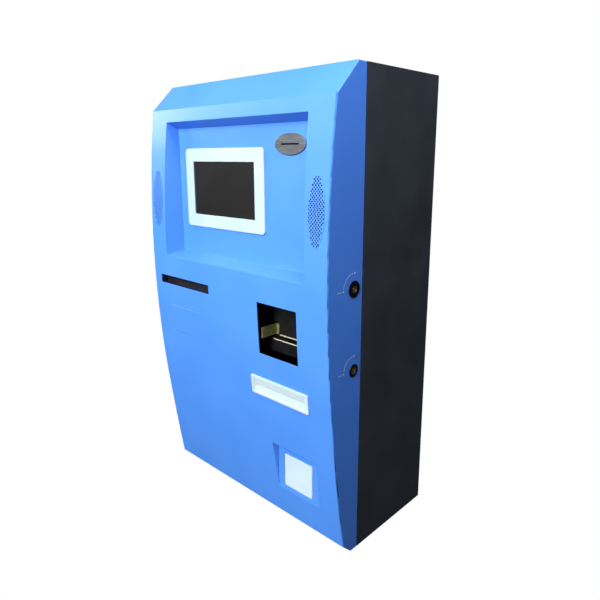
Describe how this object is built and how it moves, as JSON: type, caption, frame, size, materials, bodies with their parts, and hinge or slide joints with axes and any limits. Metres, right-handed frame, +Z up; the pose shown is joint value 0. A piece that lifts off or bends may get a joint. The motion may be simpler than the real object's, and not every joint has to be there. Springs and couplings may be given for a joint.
{
  "type": "parking pay station",
  "caption": "Wall-hung parking pay station: a steel cabinet with a hinged curved door holding screen, card slot, speakers, printer, banknote mouth, ticket slot and coin return.",
  "frame": {"origin": "under the middle of the whole machine, level with the lower edge of cabinet and door", "axes": "+X to the customer's right, +Y towards the wall, +Z up; the customer stands at -Y"},
  "size_m": [0.6595, 0.398, 1.12],
  "materials": {
    "charcoal_powder_coat": "satin fine-texture powder coat",
    "blue_powder_coat": "satin powder coat",
    "white_plastic": "moulded ABS, fine satin texture",
    "black_plastic": "moulded, satin",
    "light_grey_plastic": "moulded, satin",
    "beige_plastic": "moulded polyamide",
    "dark_glass": "touch glass over an unlit screen",
    "brushed_steel": "brushed, grained across",
    "polished_steel": "polished edge",
    "passivated_steel": "yellow-olive passivated zinc",
    "galvanised_steel": "hot-dip galvanised sheet",
    "zinc_fastener": "bright zinc plate",
    "finned_aluminium": "black anodised extrusion",
    "black_rubber": "soft closed-cell rubber",
    "paper": "thermal paper",
    "grey_cassette": "painted steel",
    "black_lock": "black lacquered zinc casting",
    "lock_brass": "turned brass"
  },
  "bodies": {
    "cabinet": {"cabinet_shell": "charcoal_powder_coat", "doubler_plates": "charcoal_powder_coat", "equipment_plate": "galvanised_steel", "plate_pillars": "zinc_fastener", "plate_screws": "zinc_fastener", "control_computer": "finned_aluminium", "power_supply": "galvanised_steel", "din_rail": "zinc_fastener", "circuit_breaker": "light_grey_plastic", "terminal_blocks": "beige_plastic", "wiring_duct": "light_grey_plastic", "duct_lid": "light_grey_plastic", "cable_gland": "black_plastic", "fan_guard": "zinc_fastener", "fan_frame": "black_plastic", "lock_keepers": "zinc_fastener", "cabinet_hinge_leaves": "charcoal_powder_coat", "cabinet_hinge_screws": "zinc_fastener", "hinge_pins": "zinc_fastener"},
    "breaker_toggle": {"breaker_toggle": "black_plastic"},
    "fan_rotor": {"fan_rotor": "black_plastic"},
    "door": {"door_shell": "blue_powder_coat", "recess_pan": "blue_powder_coat", "coin_facet": "blue_powder_coat", "door_seal": "black_rubber", "door_ribs": "charcoal_powder_coat", "door_hinge_leaves": "charcoal_powder_coat", "door_hinge_screws": "zinc_fastener", "screen_bezel": "white_plastic", "touch_glass": "dark_glass", "lcd_panel": "black_plastic", "lcd_cradle": "galvanised_steel", "card_bezel": "brushed_steel", "card_reader": "black_plastic", "speaker_grilles": "blue_powder_coat", "speakers": "black_plastic", "paper_chute": "black_plastic", "print_head": "black_plastic", "roll_spindle": "light_grey_plastic", "service_plate": "blue_powder_coat", "service_plate_clips": "zinc_fastener", "note_validator": "black_plastic", "note_lips": "polished_steel", "note_guide_bracket": "passivated_steel", "validator_brackets": "galvanised_steel", "cassette_cradle": "galvanised_steel", "ticket_bezel": "white_plastic", "ticket_reader": "black_plastic", "coin_cup": "galvanised_steel", "flap_pin": "zinc_fastener", "lock_barrels": "black_lock", "lock_nuts": "zinc_fastener"},
    "platen": {"platen_roller": "black_rubber"},
    "paper_roll": {"paper_roll": "paper"},
    "cassette": {"note_cassette": "grey_cassette"},
    "coin_flap": {"coin_flap": "white_plastic"},
    "upper_lock": {"upper_lock_plug": "lock_brass", "upper_lock_hook": "zinc_fastener"},
    "lower_lock": {"lower_lock_plug": "lock_brass", "lower_lock_hook": "zinc_fastener"}
  },
  "joints": [
    {"name": "door_swing", "type": "hinge", "parent": "cabinet", "child": "door", "pos_m": [-0.329, -0.08225, 0.56], "axis": [0, 0, -1], "range_deg": [0, 110]},
    {"name": "upper_lock_turn", "type": "hinge", "parent": "door", "child": "upper_lock", "pos_m": [0.3, -0.112, 0.655], "axis": [1, 0, 0], "range_deg": [0, 90]},
    {"name": "lower_lock_turn", "type": "hinge", "parent": "door", "child": "lower_lock", "pos_m": [0.3, -0.109, 0.468], "axis": [1, 0, 0], "range_deg": [0, 90]},
    {"name": "coin_flap_swing", "type": "hinge", "parent": "door", "child": "coin_flap", "pos_m": [0.19, -0.1415, 0.20175], "axis": [1, 0, 0], "range_deg": [0, 55]},
    {"name": "platen_spin", "type": "hinge", "parent": "door", "child": "platen", "pos_m": [-0.185, -0.159, 0.582], "axis": [1, 0, 0], "continuous": true},
    {"name": "paper_roll_spin", "type": "hinge", "parent": "door", "child": "paper_roll", "pos_m": [-0.185, -0.139, 0.47], "axis": [1, 0, 0], "continuous": true},
    {"name": "cassette_lift", "type": "slide", "parent": "door", "child": "cassette", "axis": [0, 0, 1], "range_m": [0, 0.09]},
    {"name": "fan_spin", "type": "hinge", "parent": "cabinet", "child": "fan_rotor", "pos_m": [0.15, 0.089, 0.015], "axis": [0, 0, 1], "continuous": true},
    {"name": "breaker_switch", "type": "hinge", "parent": "cabinet", "child": "breaker_toggle", "pos_m": [-0.13, 0.1135, 0.38], "axis": [1, 0, 0], "range_deg": [-25, 25]}
  ],
  "couplings": [
    {"joint": "paper_roll_spin", "follows": "platen_spin", "ratio": 0.26087}
  ]
}
